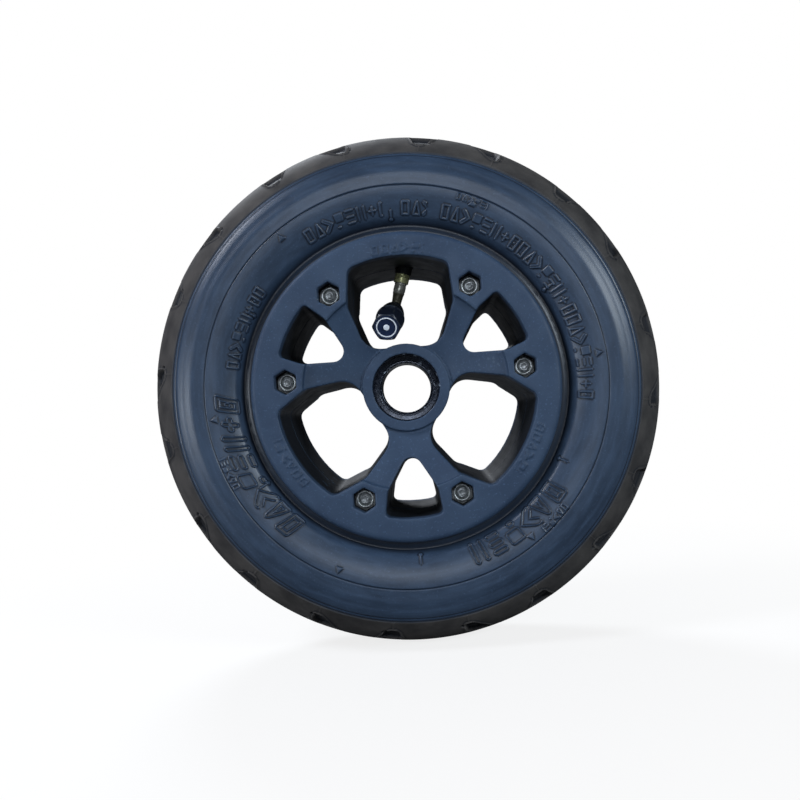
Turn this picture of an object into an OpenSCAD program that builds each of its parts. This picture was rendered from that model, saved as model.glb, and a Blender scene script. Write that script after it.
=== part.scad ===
// Pneumatic wheel with a bolted two-piece moulded hub and a bent tube valve.
// The wheel stands upright: its axis is Y, its valve side faces -Y, +Z is up,
// and the origin is the wheel's centre. Every module is drawn face up first,
// with X right, Y up and Z towards the valve side, and upright() turns it.

/* [Tyre] */
// Outside diameter of the tyre
tyre_d = 175; // [174:0.5:178]
// Width of the tyre across its sidewalls
tyre_w = 50; // [49.6:0.2:51]
// Thickness of the tyre under the tread
crown_t = 5; // [4:0.5:6]
// Diameter of each bead wire
bead_wire_d = 2.6; // [1.6:0.2:3]
// Wall of the inner tube
tube_wall = 1.2; // [0.8:0.1:1.6]

/* [Hub] */
// Width of the hub over its two flanges
hub_w = 46; // [45:0.5:47]
// Outside diameter of each flange
flange_d = 102.4; // [101:0.2:103]
// Diameter the tyre beads sit on
bead_seat_d = 92.4; // [92.2:0.1:92.6]
// Diameter of the hub boss
boss_d = 29.4; // [28.6:0.2:30]
// Depth of the boss face below the flange face
boss_recess = 7.7; // [7:0.1:8.5]
// Width of the flat rim face that carries the nut pockets
pad_w = 17.4; // [16:0.2:18.6]

/* [Bearing seats] */
// Diameter of the bearing that each seat takes
bearing_d = 22; // [21:0.5:22]
// Width of that bearing
bearing_w = 7; // [6:0.5:8]
// Clear diameter between the two seats
shoulder_d = 17; // [15:0.5:18]
// Wall of the metal sleeve around a bearing
sleeve_wall = 1; // [0.8:0.1:1.1]

/* [Clamp bolts] */
// Diameter of the circle the six bolts stand on
bolt_circle_d = 79.2; // [78:0.2:80]
// Angle from a small window's centre line to the bolt beside it
bolt_offset = 24; // [23:0.5:25]
// Nominal bolt diameter
bolt_d = 4; // [3:0.5:4]
// Bolt length under the head
bolt_len = 30; // [29:1:32]
// Across flats of a nut
nut_af = 7; // [6.6:0.1:7]
// Depth of the pocket that a nut sits in
nut_pocket = 10; // [9:0.5:10.5]

/* [Valve] */
// Lean of the stem from upright
stem_lean = 16.5; // [12:0.1:18]
// Tilt of the valve head out of the wheel's plane towards the valve side
head_tilt = 25.6; // [24:0.1:29]
// Direction of the head in the wheel's plane, from the right-hand axis
head_turn = -108.4; // [-112:0.1:-104]
// Across flats of the cap
cap_af = 8.8; // [8.8:0.1:9.4]
// Turn of the cap's hexagon about its own axis
cap_clock = 44.3; // [0:0.1:60]
// Diameter over the thread on the valve head
valve_thread_d = 7.7; // [7.5:0.1:7.7]

/* [Hidden] */
$fn = 96;
slip = 0.1;                          // gap left round a piece that is free in its hole
cut = 0.5;                           // how far a cutting shape runs past the face it cuts

// Tyre section, as radius and distance from the mid plane
tyre_r = tyre_d / 2;
crown_arc_r = 28;
wall_arc_r = 22;
wall_arc_z = tyre_w / 2 - wall_arc_r;
wall_arc_pos = tyre_r - 20.5;
cavity_arc_r = 17.5;
cavity_flat = 3;
cavity_pos = tyre_r - crown_t - cavity_arc_r;
bead_top_r = bead_seat_d / 2 + 6;
bead_gap = 12;
bead_wire_pos = [bead_seat_d / 2 + 2.9, 16.1];
tread_groove_r = 1.1;
tread_groove_z = 5;

// Hub section
hub_z = hub_w / 2;
flange_r = flange_d / 2;
seat_r = bead_seat_d / 2;
flange_t = 3.6;
flange_round = 1.9;
boss_r = boss_d / 2;
boss_z = hub_z - boss_recess;
arm_drop = 1.5;                      // step down from the rim face and from the boss to an arm
arm_outer_r = flange_r - pad_w;
arm_outer_z = hub_z - arm_drop;
arm_inner_z = boss_z - arm_drop;

// Windows: each outline is drawn about +Y, with the right half of its corners given here
window_r = seat_r - 3;               // the outer edge is an arc of this radius
window_draft = 1.4;                  // how much each window closes in from the front face to the rear face
arc_step = 3;
big_window_at = [90, 210, 330];
big_top_x = 16.6;
big_shoulder = [17.8, 27.8];
big_foot = [12.7, 13.3];
big_round = [3, 5, 7];               // corner radii, from the arc to the foot
small_window_at = [30, 150, 270];
small_top_x = 9.6;
small_shoulder = [8.4, 34];
small_tip_y = 19.8;
small_round = [1.6, 4, 3.6];
spigot = [43.9, 44.9, 1];            // inner radius, outer radius and height of the joint's spigot

// Sleeve and bearing seats
keeper_t = 1.2;                      // lip of each hub half that keeps the sleeve in
keeper_gap = 0.3;                    // play that a bearing has as it goes in past the lip
sleeve_z = boss_z - keeper_t;
sleeve_r = bearing_d / 2 + sleeve_wall;
seat_edge = 0.3;

// Bolts, washers and nuts, along the wheel's axis
bolt_r = bolt_d / 2;
bolt_hole_r = bolt_r + 0.2;
bolt_circle_r = bolt_circle_d / 2;
nut_seat_z = hub_z - nut_pocket;
nut_hex_h = 3.5;
nut_h = 5;
nut_bevel = 0.2;
nut_collar_r = 2.95;
ring_r = 2.5;
crimp = [0.25, 0.4];                 // how far the collar turns in over the lock ring, and how thick
bolt_tip_z = nut_seat_z + nut_h + 0.3;
head_seat_z = bolt_tip_z - bolt_len;
washer_t = 0.8;
washer_r = 4.2;
washer_seat_z = head_seat_z + washer_t;
bolt_head_h = 4;
bolt_head_r = 3.5;
hex_key_af = 3;
bolt_bevel = 0.5;

// Valve, measured up the stem from its bend, and out along the head from the same bend
neck = [-1.84, 29.5, 0];
stem_r = [1.7, 2.15, 2];             // at the bend, at the top of the taper, through the rim
taper_top = 8.1;
ferrule_span = [8.1, 11.2];
ferrule_r = 2.6;
patch_neck_r = 2.9;
rim_hole_r = 3.1;
patch_r = 7;
patch_top = 19.8;
stem_top = 20.6;
foot_r = 3.4;
foot_t = 0.8;
air_r = 0.8;
bend_r = [1.75, 1];                  // round of the bend outside, and of the air channel in it
boot_span = [2.2, 14];
boot_r = 4.5;
boot_arc_r = 28;
head_neck_r = 1.6;
head_r = 3.2;
head_cone = [6.5, 10.5];
thread_r = valve_thread_d / 2;
thread_start = 14.2;
head_end = 21.8;
chamber_r = 2.65;
chamber_floor = 11;
core_span = [13.4, 19.6];
core_r = chamber_r - 0.05;
core_chamber = [14, 18.6];
core_chamber_r = 1.6;
gasket_span = [16.4, 17.4];
gasket_r = 2.15;
pin_r = 0.6;
pin_span = [12.5, 21.3];
pin_head = [1, 0.35];
pin_collar = [1.4, 17.8, 0.4];       // radius, start and thickness
seal_r = 1.5;
seal_t = 0.8;
spring_r = 1.05;
spring_wire_r = 0.17;
spring_turns = 5;
cap_span = [14.2, 23.6];
cap_skirt = 1.2;
cap_skirt_r = 4.9;
cap_bore_r = thread_r + slip;
cap_seal_t = 0.8;
seal_gap = 0.02;                     // play that the cap's washer has in its seat
cap_face_bevel = 0.6;
mark_r = [3.2, 3.6];
mark_dot_r = 1;
mark_depth = 0.25;
mark_proud = 0.05;

// ---- helpers ----

module upright() { rotate([90, 0, 0]) children(); }

module on_stem() { translate(neck) rotate([0, 0, -stem_lean]) rotate([-90, 0, 0]) children(); }

module on_head() { translate(neck) rotate([0, head_tilt, head_turn]) children(); }

module at_each_bolt() {
    for (at = small_window_at, side = [-1, 1])
        rotate(at + side * bolt_offset) translate([bolt_circle_r, 0, 0])
            rotate(-side * bolt_offset) children();
}

// A tube or rod with its lower end at z0 and its upper end at z1
module rod(r, z0, z1) { translate([0, 0, z0]) cylinder(r = r, h = z1 - z0); }

module pipe(outer, inner, z0, z1) {
    difference() {
        rod(outer, z0, z1);
        rod(inner, z0 - cut, z1 + cut);
    }
}

module hexagon(af) { circle(r = af / 2 / cos(30), $fn = 6); }

// A ring of square section standing on z0
module band(inner, outer, z0, z1) {
    rotate_extrude() translate([inner, z0]) square([outer - inner, z1 - z0]);
}

// Points of a polygon whose corners are [x, y, radius]
function unit(v) = v / norm(v);
function corner_arc(p, q, s, rad, n = 8) =
    let (a = unit(p - q), b = unit(s - q), half = acos(a * b) / 2,
         mid = q + unit(a + b) * rad / sin(half),
         start = q + a * rad / tan(half) - mid,
         turn = sign(cross(b, a)) * (180 - 2 * half))
    [for (i = [0:n]) let (t = turn * i / n)
        mid + [start[0] * cos(t) - start[1] * sin(t), start[0] * sin(t) + start[1] * cos(t)]];
function flat(c) = [c[0], c[1]];
function rounded(corners) = let (n = len(corners))
    [for (i = [0:n - 1]) let (c = corners[i])
        each (c[2] == 0 ? [flat(c)]
            : corner_arc(flat(corners[(i + n - 1) % n]), flat(c), flat(corners[(i + 1) % n]), c[2]))];

// Corners of an outline from those of its right half and any on its centre line
function mirrored(half, middle = []) =
    concat(half, middle, [for (i = [len(half) - 1:-1:0]) [-half[i][0], half[i][1], half[i][2]]]);

// A corner on a circle about the wheel's centre, at a distance from the outline's centre line
function on_circle(r, x, rad) = [x, sqrt(r * r - x * x), rad];

// ---- tyre and tube ----

// Two arcs side by side joined by straight lines, for a sidewall or the air space inside it
module lobe(at, arc_r, half_w) {
    for (side = [-1, 1]) translate([at, side * half_w]) circle(r = arc_r);
    translate([at - arc_r, -half_w]) square([2 * arc_r, 2 * half_w]);
}

module air_space(gap) {
    lobe(cavity_pos, cavity_arc_r - gap, cavity_flat);
    translate([seat_r + gap, gap - bead_gap]) square([cavity_pos - seat_r, 2 * (bead_gap - gap)]);
}

function bead_wire_at(side) = [bead_wire_pos[0], side * bead_wire_pos[1]];

module tyre_section() {
    bead_z = hub_z - flange_t;
    difference() {
        union() {
            intersection() {
                lobe(wall_arc_pos, wall_arc_r, wall_arc_z);
                translate([tyre_r - crown_arc_r, 0]) circle(r = crown_arc_r);
                translate([bead_top_r, -tyre_w]) square([tyre_w, 2 * tyre_w]);
            }
            translate([seat_r, -bead_z]) square([bead_top_r - seat_r, 2 * bead_z]);
        }
        air_space(0);
        for (side = [-1, 1]) {
            translate(bead_wire_at(side)) circle(r = bead_wire_d / 2);
            translate([tyre_r, side * tread_groove_z]) circle(r = tread_groove_r);
        }
    }
}

module bead_wire(side) {
    rotate_extrude() translate(bead_wire_at(side)) circle(r = bead_wire_d / 2);
}

module tyre() { color("#39434f") upright() rotate_extrude() tyre_section(); }

module front_bead_wire() { color("#b08d57") upright() bead_wire(1); }

module rear_bead_wire() { color("#b08d57") upright() bead_wire(-1); }

module inner_tube() {
    color("#1d1d20") upright() difference() {
        rotate_extrude() difference() {
            air_space(slip);
            air_space(slip + tube_wall);
        }
        on_stem() rod(patch_neck_r, ferrule_span[1], patch_top);
    }
}

// ---- hub ----

// Outlines of a window about the Y axis, with every edge moved in by the given amount
function arc_points(r, end_x) = [for (x = [arc_step - 1:arc_step:end_x - arc_step]) on_circle(r, x, 0)];
function big_window(inset) = rounded(mirrored(concat(arc_points(window_r - inset, big_top_x), [
    on_circle(window_r - inset, big_top_x - inset, big_round[0]),
    [big_shoulder[0] - inset, big_shoulder[1], big_round[1]],
    [big_foot[0] - inset, big_foot[1] + inset, big_round[2]]])));
function small_window(inset) = rounded(mirrored(concat(arc_points(window_r - inset, small_top_x), [
    on_circle(window_r - inset, small_top_x - inset, small_round[0]),
    [small_shoulder[0] - inset, small_shoulder[1] + inset / 3, small_round[1]]]),
    [[0, small_tip_y + 2 * inset, small_round[2]]]));

// A solid between two outlines that have the same number of points
module between(lower, upper, z0, z1) {
    n = len(lower);
    points = concat([for (p = lower) [p[0], p[1], z0]], [for (p = upper) [p[0], p[1], z1]]);
    skin = [for (i = [0:n - 1]) let (j = (i + 1) % n) [i, j, n + j, n + i]];
    polyhedron(points, concat(skin, [[for (i = [n - 1:-1:0]) i]], [[for (i = [n:2 * n - 1]) i]]));
}

// The windows of one half, moved in by mid_inset on the joint face and by face_inset on the flange face
module windows(mid_inset, face_inset) {
    step = (face_inset - mid_inset) * cut / hub_z;
    low = mid_inset - step;
    high = face_inset + step;
    for (at = big_window_at) rotate(at - 90) difference() {
        between(big_window(low), big_window(high), -cut, hub_z + cut);
        rod(boss_r, -hub_w, hub_w);
    }
    for (at = small_window_at)
        rotate(at - 90) between(small_window(low), small_window(high), -cut, hub_z + cut);
}

module hub_section() {
    difference() {
        polygon([[0, 0], [seat_r, 0], [seat_r, hub_z - flange_t], [flange_r, hub_z - flange_t],
            [flange_r, hub_z], [arm_outer_r, hub_z], [arm_outer_r, arm_outer_z],
            [boss_r, arm_inner_z], [boss_r, boss_z], [0, boss_z]]);
        translate([flange_r - flange_round, hub_z - flange_round]) difference() {
            square(flange_round + cut);
            circle(r = flange_round);
        }
    }
}

// The half that faces up, before its bolt seats are cut
module hub_half(face_inset) {
    difference() {
        rotate_extrude() hub_section();
        windows(window_draft / 2, face_inset);
        rod(sleeve_r, -cut, sleeve_z);
        rod(bearing_d / 2 + keeper_gap, 0, hub_w);
        at_each_bolt() rod(bolt_hole_r, -cut, hub_w);
    }
}

module front_hub_half() {
    color("#3e4c60") upright() difference() {
        union() {
            hub_half(0);
            band(spigot[0], spigot[1], -spigot[2], cut);
        }
        at_each_bolt() translate([0, 0, nut_seat_z])
            linear_extrude(height = hub_w) hexagon(nut_af + 2 * slip);
        on_stem() rod(rim_hole_r, ferrule_span[1], stem_top);
    }
}

module rear_hub_half() {
    color("#3e4c60") upright() difference() {
        mirror([0, 0, 1]) hub_half(window_draft);
        band(spigot[0] - slip, spigot[1] + slip, -spigot[2] - slip, cut);
        at_each_bolt() rod(washer_r + 2 * slip, -hub_w, washer_seat_z);
        on_stem() rod(rim_hole_r, ferrule_span[1], stem_top);
    }
}

module bearing_sleeve() {
    seat = bearing_d / 2;
    color("#20242c") upright() difference() {
        rod(sleeve_r, -sleeve_z, sleeve_z);
        rod(shoulder_d / 2, -hub_w, hub_w);
        for (side = [0, 1]) mirror([0, 0, side]) {
            rod(seat, sleeve_z - bearing_w, hub_w);
            translate([0, 0, sleeve_z - seat_edge])
                cylinder(r1 = seat, r2 = seat + 2 * seat_edge, h = 2 * seat_edge);
        }
    }
}

// ---- clamp bolts ----

module hub_bolt() {
    rod(bolt_r, head_seat_z, bolt_tip_z - bolt_bevel);
    translate([0, 0, bolt_tip_z - bolt_bevel])
        cylinder(r1 = bolt_r, r2 = bolt_r - bolt_bevel, h = bolt_bevel);
    difference() {
        rod(bolt_head_r, head_seat_z - bolt_head_h, head_seat_z);
        translate([0, 0, head_seat_z - bolt_head_h - cut])
            linear_extrude(height = bolt_head_h / 2 + cut) hexagon(hex_key_af);
    }
}

module hub_nut() {
    corner_r = nut_af / 2 / cos(30);
    difference() {
        union() {
            intersection() {
                linear_extrude(height = nut_hex_h) hexagon(nut_af);
                cylinder(r1 = corner_r + nut_hex_h, r2 = corner_r - nut_bevel, h = nut_hex_h);
            }
            rod(nut_collar_r, 0, nut_h);
        }
        rod(bolt_r, -cut, nut_h + cut);
        rod(ring_r, nut_hex_h, nut_h - crimp[1]);
        rod(ring_r - crimp[0], nut_hex_h, nut_h + cut);
    }
}

module hub_bolts() { color("#8d8f8c") upright() at_each_bolt() hub_bolt(); }

module bolt_washers() {
    color("#9b9d9a") upright() at_each_bolt() pipe(washer_r, bolt_hole_r, head_seat_z, washer_seat_z);
}

module hub_nuts() { color("#b4b2aa") upright() at_each_bolt() translate([0, 0, nut_seat_z]) hub_nut(); }

module nut_lock_rings() {
    color("#d5d6d0") upright() at_each_bolt()
        pipe(ring_r, bolt_r, nut_seat_z + nut_hex_h, nut_seat_z + nut_h - crimp[1]);
}

// ---- valve stem ----

module valve_patch() {
    color("#222225") upright() difference() {
        on_stem() union() {
            rod(patch_neck_r, ferrule_span[1], patch_top);
            rod(patch_r, ferrule_span[1] + cut, patch_top);
        }
        difference() {
            rod(seat_r + slip + tube_wall, -hub_w, hub_w);
            on_stem() rod(patch_neck_r, 0, patch_top + cut);
        }
        on_stem() rod(stem_r[2], 0, stem_top);
    }
}

// The tapered part of the stem between the bend and the ferrule
module stem_taper() { on_stem() cylinder(r1 = stem_r[0], r2 = stem_r[1], h = taper_top); }

// The part of the valve head that the boot covers, up to the given height
module head_blank(top) {
    translate(neck) sphere(r = bend_r[0]);
    on_head() {
        rod(head_neck_r, 0, head_cone[1]);
        translate([0, 0, head_cone[0]])
            cylinder(r1 = head_neck_r, r2 = head_r, h = head_cone[1] - head_cone[0]);
        rod(head_r, head_cone[1], top);
    }
}

module valve_ferrule() {
    color("#c9b23c") upright() on_stem() pipe(ferrule_r, stem_r[2], ferrule_span[0], ferrule_span[1]);
}

module valve_stem() {
    color("#8f8a66") upright() difference() {
        union() {
            stem_taper();
            on_stem() {
                rod(stem_r[2], taper_top, stem_top);
                rod(foot_r, stem_top - foot_t, stem_top);
            }
            head_blank(thread_start);
            on_head() rod(thread_r, thread_start, head_end);
        }
        translate(neck) sphere(r = bend_r[1]);
        on_stem() rod(air_r, 0, stem_top + cut);
        on_head() {
            rod(air_r, 0, head_end);
            rod(chamber_r, chamber_floor, head_end + cut);
        }
    }
}

// ---- valve head, core and cap ----

module boot_section() {
    intersection() {
        translate([boot_r - boot_arc_r, boot_span[1]]) circle(r = boot_arc_r, $fn = 240);
        translate([0, boot_span[0]]) square([boot_r, boot_span[1] - boot_span[0]]);
    }
}

module valve_boot() {
    color("#15171b") upright() difference() {
        on_head() rotate_extrude() boot_section();
        stem_taper();
        head_blank(boot_span[1] + cut);
    }
}

module valve_core_body() {
    color("#b59a4a") upright() on_head() difference() {
        rod(core_r, core_span[0], core_span[1]);
        rod(pin_r + slip, 0, head_end);
        rod(core_chamber_r, core_chamber[0], core_chamber[1]);
        difference() {
            rod(chamber_r, gasket_span[0], gasket_span[1]);
            rod(gasket_r, 0, head_end);
        }
    }
}

module valve_core_gasket() {
    color("#a8332e") upright() on_head() pipe(chamber_r, gasket_r, gasket_span[0], gasket_span[1]);
}

module valve_core_pin() {
    color("#c8b872") upright() on_head() {
        rod(pin_r, pin_span[0], pin_span[1]);
        rod(pin_head[0], pin_span[1] - pin_head[1], pin_span[1]);
        rod(pin_collar[0], pin_collar[1], pin_collar[1] + pin_collar[2]);
    }
}

module valve_core_seal() {
    color("#26262a") upright() on_head() pipe(seal_r, pin_r, core_span[0] - seal_t, core_span[0]);
}

// A coil whose wire centre runs from z0 to z1, as rings of points round a helix
module coil(r, wire_r, turns, z0, z1) {
    sides = 8;
    steps = 24 * turns;
    lead = atan2(z1 - z0, 360 * turns * r * PI / 180);
    points = [for (i = [0:steps], k = [0:sides - 1])
        let (a = 360 * turns * i / steps, b = 360 * k / sides,
             out = r + wire_r * cos(b), up = wire_r * sin(b))
        [out * cos(a) + up * sin(lead) * sin(a), out * sin(a) - up * sin(lead) * cos(a),
            z0 + (z1 - z0) * i / steps + up * cos(lead)]];
    skin = [for (i = [0:steps - 1], k = [0:sides - 1]) let (j = (k + 1) % sides)
        [i * sides + k, i * sides + j, (i + 1) * sides + j, (i + 1) * sides + k]];
    ends = [[for (k = [sides - 1:-1:0]) k], [for (k = [0:sides - 1]) steps * sides + k]];
    polyhedron(points, concat(skin, ends));
}

module valve_core_spring() {
    color("#9fa2a6") upright() on_head()
        coil(spring_r, spring_wire_r, spring_turns,
            core_chamber[0] + spring_wire_r, pin_collar[1] - spring_wire_r);
}

module valve_cap() {
    corner_r = cap_af / 2 / cos(30);
    bevel_z = cap_span[1] - cap_face_bevel;
    color("#1a1e28") upright() on_head() difference() {
        union() {
            intersection() {
                rotate(cap_clock) translate([0, 0, cap_span[0]])
                    linear_extrude(height = cap_span[1] - cap_span[0]) hexagon(cap_af);
                union() {
                    rod(corner_r, cap_span[0], bevel_z);
                    translate([0, 0, bevel_z])
                        cylinder(r1 = corner_r, r2 = corner_r - cap_face_bevel, h = cap_face_bevel);
                }
            }
            rod(cap_skirt_r, cap_span[0], cap_span[0] + cap_skirt);
        }
        rod(cap_bore_r, cap_span[0] - cut, head_end + cap_seal_t);
        rod(mark_r[1], cap_span[1] - mark_depth, cap_span[1] + cut);
    }
}

module cap_seal() {
    color("#2b2b2e") upright() on_head()
        rod(thread_r, head_end + seal_gap, head_end + cap_seal_t - seal_gap);
}

module cap_mark() {
    floor_z = cap_span[1] - mark_depth;
    color("#e8ebf0") upright() on_head() {
        pipe(mark_r[1], mark_r[0], floor_z, cap_span[1] + mark_proud);
        rod(mark_dot_r, floor_z, cap_span[1] + mark_proud);
    }
}

tyre();
front_bead_wire();
rear_bead_wire();
inner_tube();
front_hub_half();
rear_hub_half();
bearing_sleeve();
hub_bolts();
bolt_washers();
hub_nuts();
nut_lock_rings();
valve_patch();
valve_stem();
valve_ferrule();
valve_boot();
valve_core_body();
valve_core_gasket();
valve_core_pin();
valve_core_spring();
valve_core_seal();
valve_cap();
cap_seal();
cap_mark();
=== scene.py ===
import math

import bmesh
import bpy
import numpy as np
from mathutils import Euler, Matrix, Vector


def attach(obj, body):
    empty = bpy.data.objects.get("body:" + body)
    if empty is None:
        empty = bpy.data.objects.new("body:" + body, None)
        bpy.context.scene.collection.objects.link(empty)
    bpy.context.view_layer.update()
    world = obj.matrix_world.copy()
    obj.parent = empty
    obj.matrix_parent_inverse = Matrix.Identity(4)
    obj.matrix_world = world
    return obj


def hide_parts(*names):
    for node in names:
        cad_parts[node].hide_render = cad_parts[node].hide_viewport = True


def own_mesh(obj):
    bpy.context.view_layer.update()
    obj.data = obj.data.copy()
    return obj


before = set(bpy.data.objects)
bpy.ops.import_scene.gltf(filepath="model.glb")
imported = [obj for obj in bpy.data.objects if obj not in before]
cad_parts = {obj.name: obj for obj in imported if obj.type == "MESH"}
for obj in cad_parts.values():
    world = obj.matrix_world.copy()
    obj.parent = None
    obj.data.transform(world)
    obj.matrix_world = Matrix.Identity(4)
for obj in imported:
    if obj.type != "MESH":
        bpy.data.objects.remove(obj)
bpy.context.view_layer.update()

# Looks for a small pneumatic wheel on a bolted two-piece hub. Lengths are in millimetres until a mesh
# is written. "Face up" points have X right, Y up and Z towards the valve side, as in the CAD source.

MM = 0.001
TAU = 2 * math.pi
TYRE_R, TYRE_HALF_W = 87.45, 24.95         # how far the moulded detail may reach: just inside the CAD's box
CROWN_CENTRE_R, CROWN_ARC_R = 59.5, 27.8   # the tread's section is an arc: its centre, and its radius
TREAD_EDGE_R = 77.0                        # where the tread rubber ends on the sidewall


# ---------------------------------------------------------------- axes

def turn(v, degrees, axis):
    """v turned about a face-up axis, 0, 1 or 2."""
    c, s = math.cos(math.radians(degrees)), math.sin(math.radians(degrees))
    i, j = [(1, 2), (2, 0), (0, 1)][axis]
    out = list(v)
    out[i], out[j] = c * v[i] - s * v[j], s * v[i] + c * v[j]
    return out


def axes(origin=(0, 0, 0), *turns):
    """Origin and three axes in the row frame, for axes that start face up and take these turns in order."""
    def row(p):
        return np.array([p[0], -p[2], p[1]], float)

    out = []
    for v in ([1, 0, 0], [0, 1, 0], [0, 0, 1]):
        for degrees, axis in turns:
            v = turn(v, degrees, axis)
        out.append(row(v))
    return row(origin), np.array(out)


def place(points, at):
    """Points given along the axes of a place, in the row frame."""
    return at[0] + np.asarray(points, float) @ at[1]


# The valve: its stem leans from straight up, its head tilts off the wheel's axis, and they meet at the neck.
STEM_LEAN, HEAD_TILT, HEAD_TURN, CAP_CLOCK = 16.5, 25.6, -108.4, 44.3
NECK = (-1.84, 29.5, 0)
WHEEL = axes()
STEM = axes(NECK, (-90, 0), (-STEM_LEAN, 2))
HEAD = axes(NECK, (HEAD_TILT, 1), (HEAD_TURN, 2))
BOLT_CIRCLE_R, BOLT_SPREAD, NUT_CLOCK = 39.6, 24, 30
BOLT_ANGLES = [math.radians(arm + side * BOLT_SPREAD) for arm in (30, 150, 270) for side in (-1, 1)]
NUT_AXES = axes((0, 0, 0), (NUT_CLOCK, 2))[1]
BOLTS = [(BOLT_CIRCLE_R * np.array([math.cos(a), 0, math.sin(a)]), NUT_AXES) for a in BOLT_ANGLES]


# ---------------------------------------------------------------- mesh helpers

def smooth(x, lo, hi):
    """0 below lo, 1 above hi, and an even rise between them."""
    t = np.clip((x - lo) / (hi - lo), 0, 1)
    return t * t * (3 - 2 * t)


def wave(x):
    """A rounded ridge once per unit of x, from 0 to 1."""
    return 0.5 + 0.5 * np.cos(TAU * x)


def ridge(x, at, width):
    """A soft ridge of height 1 along x = at."""
    return np.exp(-((x - at) / width) ** 2)


def arc(degrees, radius):
    return degrees * math.pi / 180 * radius


def quads(rows, columns, wrap_rows, wrap_columns):
    """The faces of a grid of points. A wrapped direction joins its last line to its first."""
    i = np.arange(rows if wrap_rows else rows - 1)[:, None]
    j = np.arange(columns if wrap_columns else columns - 1)[None, :]
    a, b = (i + 1) % rows, (j + 1) % columns
    return np.stack([i * columns + j, i * columns + b, a * columns + b, a * columns + j], -1).reshape(-1, 4)


def set_attribute(mesh, key, value):
    mesh.attributes.new(key, "FLOAT", "POINT").data.foreach_set("value", value.ravel().astype(np.float32))


def coordinates(mesh):
    """Every vertex of a mesh, in millimetres."""
    co = np.zeros(len(mesh.vertices) * 3, np.float32)
    mesh.vertices.foreach_get("co", co)
    return co.reshape(-1, 3).astype(float) / MM


def piece(name, vertices, faces, look, body="wheel", stands_for=(), weld=True, sharp=32,
          values=None):
    """An object of four-sided faces in millimetres. values are numbers per vertex that its material reads."""
    mesh = bpy.data.meshes.new(name)
    vertices = np.asarray(vertices, float) * MM
    mesh.vertices.add(len(vertices))
    mesh.vertices.foreach_set("co", vertices.ravel().astype(np.float32))
    mesh.loops.add(faces.size)
    mesh.loops.foreach_set("vertex_index", faces.ravel().astype(np.int32))
    mesh.polygons.add(len(faces))
    mesh.polygons.foreach_set("loop_start", np.arange(0, faces.size, 4, dtype=np.int32))
    for key, value in (values or {}).items():
        set_attribute(mesh, key, value)
    mesh.update(calc_edges=True)
    if weld:
        bm = bmesh.new()
        bm.from_mesh(mesh)
        bmesh.ops.remove_doubles(bm, verts=bm.verts, dist=2e-6)
        bmesh.ops.recalc_face_normals(bm, faces=bm.faces)
        bm.to_mesh(mesh)
        bm.free()
    mesh.validate()
    mesh.shade_smooth()
    mesh.set_sharp_from_angle(angle=math.radians(sharp))
    return add(name, mesh, look, body, stands_for)


def add(name, mesh, look, body, stands_for):
    obj = bpy.data.objects.new(name, mesh)
    bpy.context.scene.collection.objects.link(obj)
    mesh.materials.clear()
    mesh.materials.append(look)
    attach(obj, body)
    if stands_for:
        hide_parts(*stands_for)
    return obj


def eased(points, radius, closed=False, steps=4):
    """The polyline with each corner turned into a short curve of about this radius."""
    p = np.array(points, float)
    n, out = len(p), []
    for i in range(n):
        if not closed and i in (0, n - 1):
            out.append(p[i])
            continue
        back, on = p[i - 1] - p[i], p[(i + 1) % n] - p[i]
        a, b = (p[i] + way * min(radius / np.linalg.norm(way), 0.45) for way in (back, on))
        for t in np.linspace(0, 1, steps):
            out.append((1 - t) ** 2 * a + 2 * t * (1 - t) * p[i] + t * t * b)
    return np.array(out)


def finer(points, step, closed=False):
    """The polyline with points added so that none are further apart than step."""
    p = np.asarray(points, float)
    ends = np.roll(p, -1, 0) if closed else p[1:]
    out = []
    for a, b in zip(p, ends):
        n = max(1, int(math.ceil(np.linalg.norm(b - a) / step)))
        out += [a + (b - a) * k / n for k in range(n)]
    return np.array(out if closed else out + [p[-1]])


def lathed(profile, sides, closed, shape=None):
    """Points and faces of a profile of (radius, height) turned about Z.

    shape(r, z, angle) can give each point a radius of its own.
    """
    r, z = profile[:, :1], profile[:, 1:]
    angle = np.arange(sides)[None, :] * TAU / sides
    r = r + 0 * angle if shape is None else shape(r + 0 * angle, z + 0 * angle, angle)
    points = np.stack([r * np.cos(angle), r * np.sin(angle), z + 0 * angle], -1).reshape(-1, 3)
    return points, quads(len(profile), sides, closed, True)


def hexagon(af, angle, clock=0.0, soft=0.985):
    """Distance to the side of a hexagon with slightly rounded corners, one of them at clock degrees."""
    off = np.mod(angle - math.radians(clock), TAU / 6) - TAU / 12
    flat = af / 2 / np.cos(off)
    corner = af / 2 / math.cos(TAU / 12) * soft
    return (flat ** -60 + corner ** -60) ** (-1 / 60)


def copies(points, faces, places):
    """The same shape at each of the places, as one mesh."""
    v = np.concatenate([place(points, at) for at in places])
    f = np.concatenate([faces + k * len(points) for k in range(len(places))])
    return v, f


# ---------------------------------------------------------------- materials

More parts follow.
